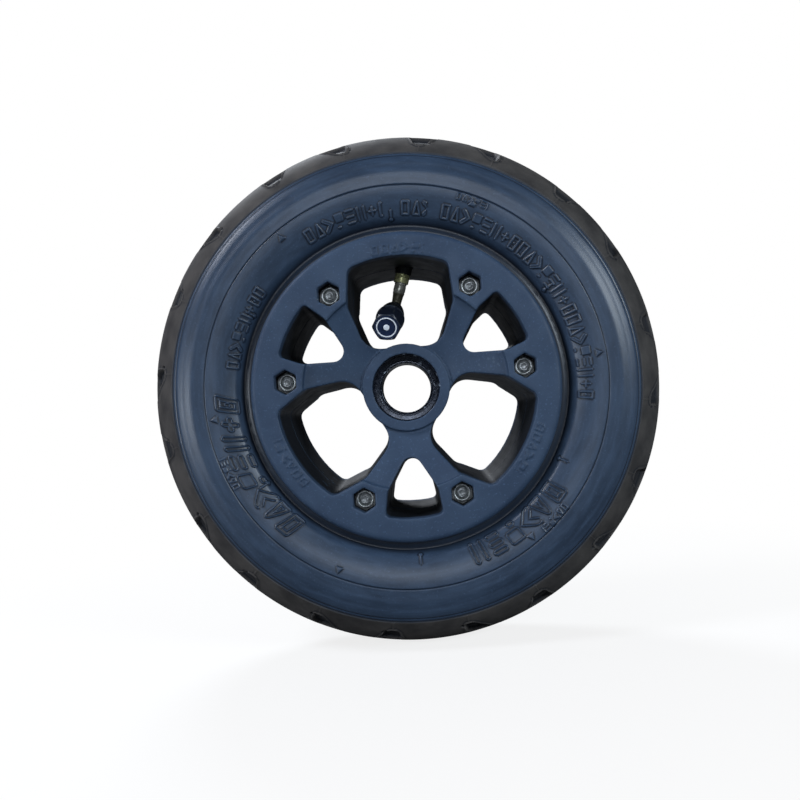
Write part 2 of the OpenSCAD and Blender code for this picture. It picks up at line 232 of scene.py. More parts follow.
def streaked(nodes, link, where):
    """Noise that is fine across the wheel's radius and long round its axis."""
    def vector(operation, a, b=None):
        n = nodes.new("ShaderNodeVectorMath")
        n.operation = operation
        for socket, value in zip(n.inputs, (a, b)):
            if isinstance(value, tuple):
                socket.default_value = value
            elif value is not None:
                link(value, socket)
        return n.outputs["Value" if operation == "LENGTH" else "Vector"]

    # The noise is read round a small circle, at a height that is the distance from the wheel's axis. So it
    # changes slowly round the wheel, and fast across its radius.
    circle_r = 0.012
    flat = vector("MULTIPLY", where, (1, 0, 1))
    way = vector("MULTIPLY", vector("NORMALIZE", flat), (circle_r, 0, circle_r))
    spread = nodes.new("ShaderNodeCombineXYZ")
    link(vector("LENGTH", flat), spread.inputs["Y"])
    streaks = nodes.new("ShaderNodeTexNoise")
    streaks.inputs["Scale"].default_value = 800
    streaks.inputs["Detail"].default_value = 5
    link(vector("ADD", way, spread.outputs["Vector"]), streaks.inputs["Vector"])
    return streaks.outputs["Fac"]


def material(name, dark, light, scale=150, rough=(0.45, 0.6), metal=0.0, grain=900, bump=0.1, depth=0.05,
             specular=0.3, edge_highlight=None, second=None, wall_shade=None, moulded=None, scuffs_and_sheen=0, specks=0):
    """A surface whose colour drifts between two tones, with fine grain and uneven polish.

    worn is a paler tone for edges, a painted highlight along them. second is a pair of tones and a polish
    for where the mesh attribute "second" says so. walls is a tone for what faces sideways where "deep" is
    set:
    painted shade on the faces that lie deep. moulded is a pair of tones for the foot and the crest of what
    "relief" marks: painted shade at the foot, and a painted highlight on the crest. swept is how strongly
    pale streaks show round the wheel's axis, which are scuffs and a painted sheen, and specks the same for
    fine pale dust. grain, bump and depth set the fine unevenness of the surface: how close, how strong and
    how many millimetres deep it is.
    """
    m = bpy.data.materials.new(name)
    m.use_nodes = True
    tree = m.node_tree
    nodes, link = tree.nodes, tree.links.new
    shader = nodes["Principled BSDF"]
    shader.inputs["Metallic"].default_value = metal
    shader.inputs["Specular IOR Level"].default_value = specular
    where = nodes.new("ShaderNodeTexCoord")

    def noise(size, detail=4.0, roughness=0.55):
        t = nodes.new("ShaderNodeTexNoise")
        t.inputs["Scale"].default_value = size
        t.inputs["Detail"].default_value = detail
        t.inputs["Roughness"].default_value = roughness
        link(where.outputs["Object"], t.inputs["Vector"])
        return t.outputs["Fac"]

    def ranged(value, a, b, c, d):
        r = nodes.new("ShaderNodeMapRange")
        link(value, r.inputs["Value"])
        for key, x in zip(("From Min", "From Max", "To Min", "To Max"), (a, b, c, d)):
            r.inputs[key].default_value = x
        return r.outputs["Result"]

    def mixed(factor, a, b):
        x = nodes.new("ShaderNodeMix")
        x.data_type = "RGBA"
        link(factor, x.inputs["Factor"])
        for socket, colour in (("A", a), ("B", b)):
            target = next(s for s in x.inputs if s.name == socket and s.type == "RGBA")
            if isinstance(colour, tuple):
                target.default_value = (*colour, 1)
            else:
                link(colour, target)
        return next(s for s in x.outputs if s.type == "RGBA")

    def attribute(key):
        a = nodes.new("ShaderNodeAttribute")
        a.attribute_name = key
        return a.outputs["Fac"]

    broad, fine = noise(scale), noise(grain, 3.0, 0.6)
    colour = mixed(ranged(broad, 0.35, 0.65, 0, 1), dark, light)
    # pale streaks round the axis: scuffs, and a painted sheen
    if scuffs_and_sheen:
        streaks = streaked(nodes, link, where.outputs["Object"])
        colour = mixed(ranged(streaks, 0.4, 0.75, 0, scuffs_and_sheen), colour, tuple(1.8 * c for c in light))
    if specks:
        dust = noise(1400, 2.0, 0.5)
        colour = mixed(ranged(dust, 0.6, 0.75, 0, specks), colour, tuple(3.5 * c for c in light))
    polish = ranged(noise(scale * 2.3), 0.35, 0.65, rough[0], rough[1])
    if second:
        dusty = mixed(ranged(noise(scale * 1.7), 0.35, 0.65, 0, 1), second[0], second[1])
        colour = mixed(attribute("second"), colour, dusty)
        polish = ranged(attribute("second"), 0, 1, rough[0], second[2])
    # painted shade: a dark tone on faces that look sideways and lie deep, where shade falls
    if wall_shade:
        facing, side = nodes.new("ShaderNodeSeparateXYZ"), nodes.new("ShaderNodeMath")
        side.operation = "ABSOLUTE"
        link(where.outputs["Normal"], facing.inputs["Vector"])
        link(facing.outputs["Y"], side.inputs[0])
        both = nodes.new("ShaderNodeMath")
        both.operation = "MULTIPLY"
        link(ranged(side.outputs["Value"], 0.25, 0.75, 1, 0), both.inputs[0])
        link(attribute("deep"), both.inputs[1])
        colour = mixed(both.outputs["Value"], colour, wall_shade)
    # painted highlight: a paler tone on sharp outer edges
    if edge_highlight:
        edges = nodes.new("ShaderNodeNewGeometry")
        colour = mixed(ranged(edges.outputs["Pointiness"], 0.52, 0.58, 0, 0.75), colour, edge_highlight)
    # painted shade at the foot of the marks, and a painted highlight on their crests
    if moulded:
        colour = mixed(ranged(attribute("relief"), 0, 1, 0, 0.9), colour, moulded[0])
        colour = mixed(ranged(attribute("relief"), 0, -1, 0, 0.6), colour, moulded[1])
    link(colour, shader.inputs["Base Color"])
    link(polish, shader.inputs["Roughness"])
    uneven = nodes.new("ShaderNodeBump")
    uneven.inputs["Strength"].default_value = bump
    uneven.inputs["Distance"].default_value = depth * MM
    link(fine, uneven.inputs["Height"])
    link(uneven.outputs["Normal"], shader.inputs["Normal"])
    return m


# the pale edge tones given below are painted highlights
RUBBER = material("tyre_rubber", (0.020, 0.034, 0.060), (0.029, 0.048, 0.082), 60, (0.36, 0.5), 0, 2500, 0.3,
                  specular=0.35, second=((0.028, 0.026, 0.026), (0.060, 0.055, 0.052), 0.8),
                  moulded=((0.004, 0.006, 0.011), (0.065, 0.09, 0.13)), scuffs_and_sheen=0.35, specks=0.15)
# the hub's near-black tone for deep sideways faces is painted shade in its windows
HUB = material("hub_plastic", (0.023, 0.042, 0.079), (0.032, 0.056, 0.100), 80, (0.48, 0.62), 0, 3000, 0.35,
               specular=0.25, edge_highlight=(0.050, 0.08, 0.125), wall_shade=(0.007, 0.009, 0.013),
               moulded=((0.008, 0.013, 0.022), (0.05, 0.08, 0.125)), specks=0.22)
SLEEVE = material("sleeve_metal", (0.006, 0.009, 0.018), (0.014, 0.020, 0.036), 500, (0.14, 0.3), 0.5, 3000,
                  0.2, specular=0.6, edge_highlight=(0.30, 0.36, 0.44))
BOLT = material("bolt_steel", (0.22, 0.235, 0.24), (0.50, 0.52, 0.53), 900, (0.25, 0.45), 0.4, 3000, 0.5)
WASHER = material("washer_steel", (0.38, 0.38, 0.37), (0.55, 0.55, 0.53), 400, (0.25, 0.4), 1.0, 5000, 0.25)
NUT = material("nut_steel", (0.34, 0.36, 0.36), (0.72, 0.74, 0.74), 700, (0.24, 0.42), 0.4, 3000, 0.6)
NYLON = material("nylon", (0.10, 0.12, 0.115), (0.17, 0.19, 0.18), 900, (0.35, 0.5), 0.0, 5000, 0.2)
STEM_BRASS = material("stem_brass", (0.24, 0.24, 0.205), (0.48, 0.48, 0.42), 700, (0.3, 0.5), 0.3, 3000, 0.6,
                      edge_highlight=(0.5, 0.5, 0.42), second=((0.055, 0.050, 0.033), (0.12, 0.112, 0.078), 0.45))
FERRULE = material("ferrule_brass", (0.50, 0.51, 0.24), (0.78, 0.78, 0.42), 500, (0.24, 0.4), 0.4, 4000, 0.3)
BOOT = material("boot_rubber", (0.0025, 0.003, 0.004), (0.006, 0.007, 0.010), 200, (0.45, 0.6), 0.0, 3000,
                0.3, specular=0.15)
CAP = material("cap_plastic", (0.004, 0.006, 0.012), (0.008, 0.011, 0.020), 300, (0.28, 0.4), 0.0, 4000, 0.2,
               edge_highlight=(0.16, 0.20, 0.26), second=((0.008, 0.016, 0.046), (0.011, 0.022, 0.060), 0.35))
MARK = material("mark_white", (0.66, 0.70, 0.76), (0.80, 0.83, 0.88), 700, (0.4, 0.5), 0.0, 4000, 0.15)
TUBE = material("tube_rubber", (0.012, 0.012, 0.014), (0.026, 0.026, 0.028), 120, (0.5, 0.7), 0.0, 3000, 0.3)
WIRE = material("bead_wire", (0.36, 0.26, 0.14), (0.55, 0.45, 0.28), 900, (0.3, 0.5), 1.0, 5000, 0.3)
CORE = material("core_brass", (0.42, 0.32, 0.13), (0.62, 0.50, 0.25), 900, (0.22, 0.38), 1.0, 6000, 0.2)
GASKET = material("core_gasket", (0.25, 0.03, 0.025), (0.38, 0.06, 0.05), 900, (0.45, 0.6), 0.0, 5000, 0.2)
SPRING = material("spring_steel", (0.42, 0.42, 0.42), (0.6, 0.6, 0.6), 900, (0.2, 0.35), 1.0, 6000, 0.2)


# ---------------------------------------------------------------- tyre

def tyre_outline():
    """Outside of the tyre from one bead toe, over the tread, to the other, as (radius, height) points."""
    toe_r, lip_r, toe_z, lip_z = 46.2, 52.0, 17.0, 19.2
    wall_r, wall_z, wall_arc_r = 67, 3, 21.5
    crown_rise = 14.9
    bead = [[toe_r, toe_z], [toe_r, lip_z], [lip_r, lip_z]]
    start, join = (math.acos((r - wall_r) / wall_arc_r) for r in (52.2, 74.2))
    wall = [[wall_r + wall_arc_r * math.cos(t), wall_z + wall_arc_r * math.sin(t)]
            for t in np.linspace(start, join, 60)]
    crown = [[CROWN_CENTRE_R + CROWN_ARC_R * math.cos(t), CROWN_ARC_R * math.sin(t)]
             for t in np.linspace(math.acos(crown_rise / CROWN_ARC_R), 0, 40)]
    half = eased(bead + wall[2:-1] + crown[1:], 0.5, steps=3)
    half = half[half[:, 1] >= 0]
    return np.concatenate([half, half[::-1][1:] * [1, -1]])


def resampled(points, spacing):
    """Points along the polyline with a spacing that spacing(radius) sets."""
    d = np.r_[0, np.cumsum(np.linalg.norm(np.diff(points, axis=0), axis=1))]
    at, out = 0.0, []
    while at < d[-1]:
        p = np.array([np.interp(at, d, points[:, k]) for k in (0, 1)])
        out.append(p)
        at += spacing(p[0])
    return np.array(out + [points[-1]])


def box_distance(x, y, w, h):
    """Distance to a box 2w wide and 2h high about the origin, less than 0 inside it."""
    qx, qy = np.abs(x) - w, np.abs(y) - h
    return np.hypot(np.maximum(qx, 0), np.maximum(qy, 0)) + np.minimum(np.maximum(qx, qy), 0)


def plain_signs(x, y, w, h):
    """Distance to the middle lines of eight plain signs, none of them a letter, 2w wide and 2h high."""
    def bar(px, py, half_w, half_h):
        return box_distance(x - px, y - py, half_w, half_h)

    slope = h / math.hypot(h, 2 * w)
    rim = np.abs(box_distance(x, y, w, h))
    chevron = np.hypot((x - w + 2 * w * np.abs(y) / h) * slope, np.maximum(np.abs(y) - h, 0))
    second = np.hypot((x - 0.1 * w + 2 * w * np.abs(y) / h) * slope, np.maximum(np.abs(y) - h, 0))
    peak = h / math.hypot(h, w / 2)
    sides = np.hypot((np.abs(x) - w * (h - y) / (2 * h)) * peak, np.maximum(np.abs(y) - h, 0))
    dashes = np.minimum(np.minimum(bar(0, 0, w, 0), bar(0, h, w, 0)), bar(0, -h, w, 0))
    return [rim, np.minimum(bar(-w, 0, 0, h), bar(w, 0, 0, h)), np.minimum(chevron, second),
            np.minimum(rim, np.hypot(x, y)), dashes, np.minimum(sides, bar(0, -h, w, 0)),
            np.minimum(bar(0, 0, w, 0), bar(0, 0, 0, h * 0.6)),
            np.minimum(bar(0, h * 0.5, w, h * 0.5), bar(-w * 0.7, -h, w * 0.3, 0))]


def tally(x, y, pitch, height, length, slant, line, outlined, first=0):
    """Height, 0 to 1, of a row of raised plain signs. x runs along the row, y across it."""
    x = x - slant * y
    index = np.floor(x / pitch)
    cx = x - (index + 0.5) * pitch
    kind = np.mod(index * 5 + first, 8)
    signs = plain_signs(cx, y, pitch * 0.36 - line / 2, height / 2 - line / 2)
    d = np.select([kind == k for k in range(7)], signs[:7], signs[7]) - line / 2
    if outlined:
        outline_half = 0.17
        d = np.abs(d) - outline_half
    inside = (x > 0) & (x < length)
    return np.where(inside, 1 - smooth(d, -0.1, 0.12), 0)


def tyre_relief(angle, r, z):
    """Height of the moulded detail in millimetres. angle is in degrees, as seen from the point's own side."""
    side = np.abs(z)
    wall = r < 77.4
    h = 0 * angle + 0 * r
    # a fine moulding line, two faint swells outside it, and a hollow where the wall dips under the rim
    h = h - 0.26 * ridge(r, 65.9, 0.17)
    h = h + 0.17 * ridge(r, 70.4, 1.5) + 0.12 * ridge(r, 73.6, 0.9)
    h = h - 1.1 * (1 - smooth(r, 53.0, 56.5))
    # edge of the tread rubber: a small step, a groove at its foot, and a line a little further in
    h = h + 0.3 * smooth(r, TREAD_EDGE_R, TREAD_EDGE_R + 0.3) - 0.2 * ridge(r, 76.95, 0.14)
    h = h - 0.24 * ridge(r, 75.9, 0.15)

    def row(start, stop, centre, height, pitch, slant=0.0, line=0.55, outlined=False, tall=0.32):
        """Signs clockwise from one angle to another, about a middle radius."""
        along = arc(np.mod(start - angle, 360), centre)
        length = arc(start - stop, centre)
        return tall * tally(along, r - centre, pitch, height, length, slant, line, outlined) * wall

    h = h + row(120.4, 93.6, 58.6, 4.4, 3.7)
    h = h + row(88.0, 79.5, 58.6, 4.4, 3.7)
    h = h + row(75.0, -7.8, 58.6, 4.6, 3.55)
    h = h + row(170.6, 141.3, 57.2, 3.9, 3.2)
    h = h + row(229.4, 179.2, 58.9, 7.0, 6.5, 0.3, 1.35, True, 0.35)
    h = h + row(323.6, 286.9, 58.9, 6.6, 6.3, -0.1, 1.35, True, 0.35)
    for start in (71.3, 207.5, 319.7):
        h = h + row(start, start - 10.5, 64.3, 2.3, 2.1, 0, 0.34, False, 0.22)
    # six moulding vents, each with a short bar outside it, and six small pointers
    vent_r, bar_r, bar_half, pointer_r = 55.2, 57.0, 1.0, 63.2
    near = arc(np.mod(angle - 31 + 30, 60) - 30, r)
    bar = np.hypot(near, np.maximum(np.abs(r - bar_r) - bar_half, 0))
    h = h + 0.55 * (1 - smooth(np.hypot(near, r - vent_r), 0.35, 0.8)) * wall
    h = h + 0.4 * (1 - smooth(bar, 0.1, 0.4)) * wall
    near = arc(np.mod(angle - 6 + 30, 60) - 30, r)
    pointer = np.abs(near) + (r - pointer_r) * 0.55 - 0.75
    h = h + 0.35 * (1 - smooth(np.maximum(pointer, pointer_r - 0.6 - r), -0.1, 0.2)) * wall
    # tread: scoops that lean over and narrow to a round end, each with a thin lip and a notch beside it,
    # and a fine line from it to the tread's edge. across is the length of tread from its middle line.
    across = np.arctan2(side, r - CROWN_CENTRE_R) * CROWN_ARC_R
    pitch, first = 18.0, -7
    scoop_inner, scoop_outer, scoop_round = 7.2, 18.9, 1.1
    odd = np.mod(np.floor((angle - first + pitch / 2) / pitch), 2)
    near = arc(np.mod(angle - first + pitch / 2, pitch) - pitch / 2, r)
    half = 0.5 + 0.36 * np.clip(20.0 - across, 0, 9)
    lean = near + (0.42 - 0.55 * odd) * (across - 20.0)
    beyond = np.maximum(across - scoop_outer, 0) + np.maximum(scoop_inner - across, 0)
    scoop = np.hypot(np.maximum(np.abs(lean) - half, 0), beyond) - scoop_round
    h = h - 1.7 * (1 - smooth(scoop, -0.7, 0.1)) + 0.36 * ridge(scoop, 0.4, 0.24) * smooth(across, 11, 14)
    notch = np.hypot(lean + half + 1.5, (across - 18.3) * 0.7) - 0.9
    h = h - 0.8 * (1 - smooth(notch, -0.4, 0.2))
    line = 1 - smooth(np.abs(near) - 0.12, -0.1, 0.18)
    h = h + 0.16 * line * smooth(across, 20.6, 21.0) * (1 - smooth(r, 77.4, 77.2))
    # two running grooves and fine cuts across the middle rib
    groove_z, groove_swing, rib_half = 4.4, 0.5, 2.0
    crown = r > 80
    weave = groove_swing * np.sin(np.radians(angle * 20))
    h = h - 1.3 * (1 - smooth(np.abs(side - groove_z - weave), 0.6, 1.2)) * crown
    cuts = np.abs(arc(np.mod(angle + z * 1.6, 6) - 3, r)) - 0.3
    h = h - 0.9 * (1 - smooth(cuts, -0.1, 0.2)) * (1 - smooth(side, rib_half, rib_half + 0.6)) * crown
    return h


def foot_and_crest(h):
    """Where a height map stands below (towards 1) or above (towards -1) what is close round it."""
    full = 0.08
    beside = sum(np.roll(h, k, 1) for k in (-5, -3, -2, 2, 3, 5)) / 6
    rows = np.pad(h, ((3, 3), (0, 0)), mode="edge")
    along = sum(rows[3 + k:len(h) + 3 + k] for k in (-3, -2, 2, 3)) / 4
    return np.clip(((beside + along) / 2 - h) / full, -1, 1)


def make_tyre():
    grain = 1.0

    def spacing(r):
        """Closest on the sidewall with its marks, wider on the tread, and widest at the bead."""
        return grain * (0.5 if r <= 53 else 0.2 if r < 79 else 0.3)

    profile = resampled(tyre_outline(), spacing)
    tangent = np.gradient(profile, axis=0)
    normal = np.stack([-tangent[:, 1], tangent[:, 0]], -1)
    normal /= np.linalg.norm(normal, axis=1, keepdims=True)
    steps = 2520
    theta = np.arange(steps) * TAU / steps
    degrees = np.degrees(theta)[None, :]
    r, z = profile[:, :1], profile[:, 1:]
    seen = np.where(z >= 0, degrees, 180 - degrees)
    h = tyre_relief(seen, r + 0 * degrees, z + 0 * degrees)
    h = h * smooth(r, 52.4, 53.2)
    rr, zz = r + h * normal[:, :1], z + h * normal[:, 1:]
    zz = np.clip(zz, -TYRE_HALF_W, TYRE_HALF_W)
    rr = np.minimum(rr, TYRE_R)
    points = np.stack([rr * np.cos(theta), rr * np.sin(theta), zz], -1)
    tread = smooth(r + 0 * degrees, TREAD_EDGE_R, TREAD_EDGE_R + 0.25)
    # dark at the foot of the marks, in the tread's scoops and where the sidewall dips under the rim: painted
    # shade; pale on the marks' crests: painted highlight
    relief = np.maximum(foot_and_crest(h), 0.85 * smooth(-h, 0.5, 1.5) * tread)
    relief = np.maximum(relief, 0.8 * (1 - smooth(r + 0 * degrees, 53.4, 55.0)))
    hollow = [[82, 6], [75, 17], [62, 19], [52, 12.5], [46.2, 12]]
    hollow = np.array([[r, -z] for r, z in hollow[::-1]] + hollow)
    inner = np.stack([hollow[:, :1] * np.cos(theta), hollow[:, :1] * np.sin(theta),
                      hollow[:, 1:] + 0 * theta[None, :]], -1)
    points = np.concatenate([points, inner])
    plain = np.zeros((len(hollow), steps))
    faces = quads(len(points), steps, True, True)[:, ::-1]
    return piece("tyre_moulded", place(points.reshape(-1, 3), WHEEL), faces, RUBBER, stands_for=["tyre"],
                 weld=False, sharp=60,
                 values={"second": np.concatenate([tread, plain]),
                         "relief": np.concatenate([relief, plain])})


# ---------------------------------------------------------------- hub halves

def make_hub(node, name, side):
    """The CAD half with its edges eased as moulded plastic has them, and plain raised marks on its rim."""
    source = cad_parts[node]
    obj = bpy.data.objects.new(name, source.data.copy())
    bpy.context.scene.collection.objects.link(obj)
    remesh = obj.modifiers.new("remesh", "REMESH")
    remesh.mode = "VOXEL"
    remesh.voxel_size = 0.34 * MM
    ease = obj.modifiers.new("ease", "SMOOTH")
    ease.factor = 0.5
    ease.iterations = 5
    mesh = bpy.data.meshes.new_from_object(obj.evaluated_get(bpy.context.evaluated_depsgraph_get()))
    bpy.data.objects.remove(obj)
    p = coordinates(mesh)
    r, angle = np.hypot(p[:, 0], p[:, 2]), np.degrees(np.arctan2(p[:, 2], p[:, 0]))
    marks_r, marks_span, marks_height, rim_face = 45.6, 22.4, 0.3, 22.5
    face = smooth(-side * p[:, 1], rim_face - 0.2, rim_face + 0.2)
    h = 0 * r
    for middle in (90, 210, 330):
        along = arc(np.mod(middle + marks_span / 2 - angle, 360), marks_r)
        h = h + tally(along, r - marks_r, 3.4, 3.0, arc(marks_span, marks_r), 0.12, 0.5, False, 3)
    p[:, 1] -= side * marks_height * np.clip(h, 0, 1) * face
    mesh.vertices.foreach_set("co", (p * MM).ravel().astype(np.float32))
    # the marks' sloping sides, where the material paints shade
    set_attribute(mesh, "relief", np.clip(1 - np.abs(h * 2 - 1) * 1.1, 0, 1) * face * 0.8)
    # how far behind the half's own front surface, which stands back between the boss and the rim. Sideways
    # faces that lie deep get painted shade from it.
    front = np.interp(r, [14.7, 35, 36.5], [15.3, 20.9, rim_face])
    set_attribute(mesh, "deep", smooth(front + side * p[:, 1], 2.2, 4.5))
    mesh.update()
    mesh.shade_smooth()
    mesh.name = name
    return add(name, mesh, HUB, "wheel", [node])


# ---------------------------------------------------------------- sleeve, bolts, nuts

def turned(name, outline, look, at, sides=160, closed=True, ease=0.15, step=None, shape=None, body="wheel",
           stands_for=(), sharp=32):
    """A piece turned from an outline of (radius, height), at one place or at each of a list of places."""
    profile = eased(outline, ease, closed)
    if step:
        profile = finer(profile, step, closed)
    points, faces = lathed(profile, sides, closed, shape)
    v, f = copies(points, faces, at if isinstance(at, list) else [at])
    return piece(name, v, f, look, body, stands_for, sharp=sharp)


def make_sleeve():
    outer, half_l, seat, lip, shoulder = 12, 14.1, 11, 7.1, 6.8
    half = [[seat + 0.35, half_l], [seat, half_l - 0.35], [seat, lip], [9.7, lip], [9.55, shoulder],
            [8.95, shoulder], [8.8, 7.0], [8.6, 7.0], [8.5, shoulder]]
    outline = [[outer, -half_l], [outer, half_l]] + half + [[r, -z] for r, z in half[::-1]]
    turned("sleeve_turned", outline, SLEEVE, WHEEL, 240, ease=0.1, stands_for=["bearing_sleeve"])


def make_fasteners():
    seat, tip, head = 13.0, 18.3, -11.7      # where the nut bears, the bolt ends and its head starts
    shank, head_r, head_h = 2, 3.5, 4
    thread_pitch, thread_depth, socket_af = 0.7, 0.26, 3
    knurls, knurl_depth = 30, 0.1

    def bolt_shape(r, z, angle):
        turns = angle / TAU
        threaded = smooth(z, head + 2, head + 3) * (r > 1.2) * (r < 2.1)
        thread = thread_depth * wave(z / thread_pitch - turns) * threaded
        rim = (r > 3.35) * smooth(z, head - 3.6, head - 3.3) * smooth(-z, -head + 0.15, -head + 0.3)
        knurl = knurl_depth * wave(knurls * turns) * rim
        socket = (r < 1.75) & (z < head - 1.5) & (z > head - 4.2)
        return np.where(socket, r * hexagon(socket_af, angle, 0, 1) / math.sqrt(3), r) - thread - knurl

    bolt = [[0, tip - 0.3], [0.7, tip - 0.22], [1.1, tip], [1.45, tip], [shank, tip - 0.5], [shank, head],
            [head_r, head], [head_r, head - head_h], [1.95, head - head_h], [1.72, head - head_h + 0.25],
            [1.72, head - 2.2], [0, head - 1.7]]
    turned("bolts_threaded", bolt, BOLT, BOLTS, 90, False, 0.22, 0.14, bolt_shape, stands_for=["hub_bolts"])
    washer = [[2.25, head], [2.25, head + 0.8], [4.2, head + 0.8], [4.2, head]]
    turned("washers_stamped", washer, WASHER, BOLTS, 96, ease=0.2, stands_for=["bolt_washers"])
    nut_af, nut_h, hexagon_h, collar_r = 7, 5, 3.56, 2.95

    def nut_shape(r, z, angle):
        return np.where(z < seat + hexagon_h, np.minimum(r, hexagon(nut_af, angle)), r)

    nut = [[2.02, 0.3], [2.35, 0], [3.6, 0], [4.04, 0.3], [4.04, 2.9], [3.3, 3.5], [3.0, 3.55],
           [collar_r, nut_h - 0.3], [2.6, nut_h], [2.3, nut_h - 0.05], [2.28, 4.7], [2.5, 4.55], [2.5, 3.5],
           [2.02, 3.5]]
    turned("nuts_locking", [[r, seat + z] for r, z in nut], NUT, BOLTS, 144, ease=0.12, step=0.3,
           shape=nut_shape, stands_for=["hub_nuts"], sharp=28)
    ring = [[2.0, seat + 3.52], [2.0, seat + 4.6], [2.48, seat + 4.6], [2.48, seat + 3.52]]
    turned("nylon_rings", ring, NYLON, BOLTS, 96, ease=0.15, stands_for=["nut_lock_rings"])


# ---------------------------------------------------------------- valve

def make_stem():
    """One tube from the foot in the patch, down the stem, round the bend and out along the head."""
    up, out = STEM[1][2], HEAD[1][2]
    neck = STEM[0]
    plane = np.cross(out, up)
    plane /= np.linalg.norm(plane)
    bend = 1.5
    thread_pitch, thread_depth = 0.794, 0.42
    foot, foot_r, stem_r, flare_r, channel_r, bore_r = -20.6, 3.4, 2.0, 2.15, 0.8, 2.65

    def station(s):
        """Middle and way of the tube, s past the bend: negative up the stem, positive out along the head."""
        if s <= -bend:
            return neck - s * up, -up
        if s >= bend:
            return neck + s * out, out
        t = (s + bend) / (2 * bend)
        a, b, c = neck + bend * up, neck, neck + bend * out
        way = 2 * (1 - t) * (b - a) + 2 * t * (c - b)
        return (1 - t) ** 2 * a + 2 * t * (1 - t) * b + t * t * c, way / np.linalg.norm(way)

    outline = [(foot, channel_r), (foot, foot_r), (-19.8, foot_r), (-19.6, stem_r), (-8.2, stem_r),
               (-8.0, flare_r)]
    for ring in (7.2, 4.9):
        outline += [(-ring - 0.25, 2.13), (-ring, 1.95), (-ring + 0.25, 2.1)]
    outline += [(-3.4, 1.86), (-1.8, 1.72), (-0.6, 1.68), (0.6, 1.66), (1.5, 1.72), (2.0, 1.74), (2.3, 1.6),
                (6.5, 1.6), (10.5, 3.2), (13.9, 3.2), (14.2, 3.85), (21.5, 3.85), (21.8, 3.5), (21.8, 2.85),
                (21.6, bore_r), (11, bore_r), (11, channel_r), (0.5, channel_r)]
    line = finer(eased(outline, 0.12), 0.09)
    sides = 96
    angle = np.arange(sides) * TAU / sides
    points = []
    for s, r in line:
        centre, way = station(s)
        side = np.cross(way, plane)
        threaded = smooth(s, 14.3, 15.0) * (1 - smooth(s, 21.3, 21.7)) * (r > 3.3)
        ring_r = (r - thread_depth * wave(s / thread_pitch - angle / TAU) * threaded)[:, None]
        points.append(centre + ring_r * (np.cos(angle)[:, None] * side + np.sin(angle)[:, None] * plane))
    along = np.repeat(line[:, 0], sides)
    lower = smooth(along, -5.0, -3.8) * (1 - smooth(along, 0.9, 1.3))
    piece("valve_stem_swept", np.concatenate(points), quads(len(points), sides, False, True), STEM_BRASS,
          stands_for=["valve_stem"], values={"second": lower})


def make_ferrule_and_boot():
    outer, groove = 2.6, 2.45
    ferrule = [[2.02, 8.1], [2.02, 11.2], [outer, 11.2], [outer, 10.5], [groove, 10.3], [outer, 10.1],
               [outer, 8.1]]
    turned("ferrule_turned", ferrule, FERRULE, STEM, 96, ease=0.14, stands_for=["valve_ferrule"])
    arc_r, arc_centre_r, mouth = 28, -23.5, 14.0
    swell = [[arc_centre_r + math.sqrt(arc_r ** 2 - (mouth - z) ** 2), z] for z in np.linspace(2.2, 12.4, 24)]
    boot = swell + [[4.36, 12.7], [4.48, 13.0], [4.5, mouth], [3.22, mouth], [3.22, 10.5], [1.62, 6.5],
                    [1.62, 2.2]]
    turned("boot_moulded", boot, BOOT, HEAD, 128, ease=0.25, stands_for=["valve_boot"])


def make_cap():
    top, rim_top, mouth, roof, bore = 23.35, 23.6, 14.2, 22.6, 3.95
    af, print_r = 8.8, 4.0

    def cap_shape(r, z, angle):
        flats = np.minimum(r, hexagon(af, angle, CAP_CLOCK, 0.97))
        return np.where((z > 15.3) & (r > 4.0), flats, r)

    outline = [[0, top], [3.6, top], [3.62, rim_top], [4.3, rim_top], [5.02, 22.9], [5.06, 15.5],
               [4.9, 15.35], [4.9, mouth], [4.2, mouth], [bore, 14.45], [bore, roof], [0, roof]]
    cap = turned("cap_moulded", outline, CAP, HEAD, 144, False, 0.12, 0.35, cap_shape, "cap", ["valve_cap"],
                 28)
    out = (coordinates(cap.data) - HEAD[0]) @ HEAD[1].T
    printed = (out[:, 2] > top - 0.15) & (np.hypot(out[:, 0], out[:, 1]) < print_r)
    set_attribute(cap.data, "second", printed)
    low, high, sides = top + 0.01, 23.64, 144
    ring = [[3.05, low], [3.05, high], [3.42, high], [3.42, low]]
    ring, ring_faces = lathed(eased(ring, 0.06, True), sides, True)
    dot = [[0, high], [1.0, high], [1.0, low], [0, low]]
    dot, dot_faces = lathed(eased(dot, 0.06), sides, False)
    piece("cap_ring_and_dot", place(np.concatenate([ring, dot]), HEAD),
          np.concatenate([ring_faces, dot_faces + len(ring)]), MARK, "cap", ["cap_mark"])
    washer = [[0, 21.83], [3.84, 21.83], [3.84, 22.57], [0, 22.57]]
    turned("cap_washer_moulded", washer, TUBE, HEAD, 96, False, 0.12, body="cap_washer",
           stands_for=["cap_seal"])


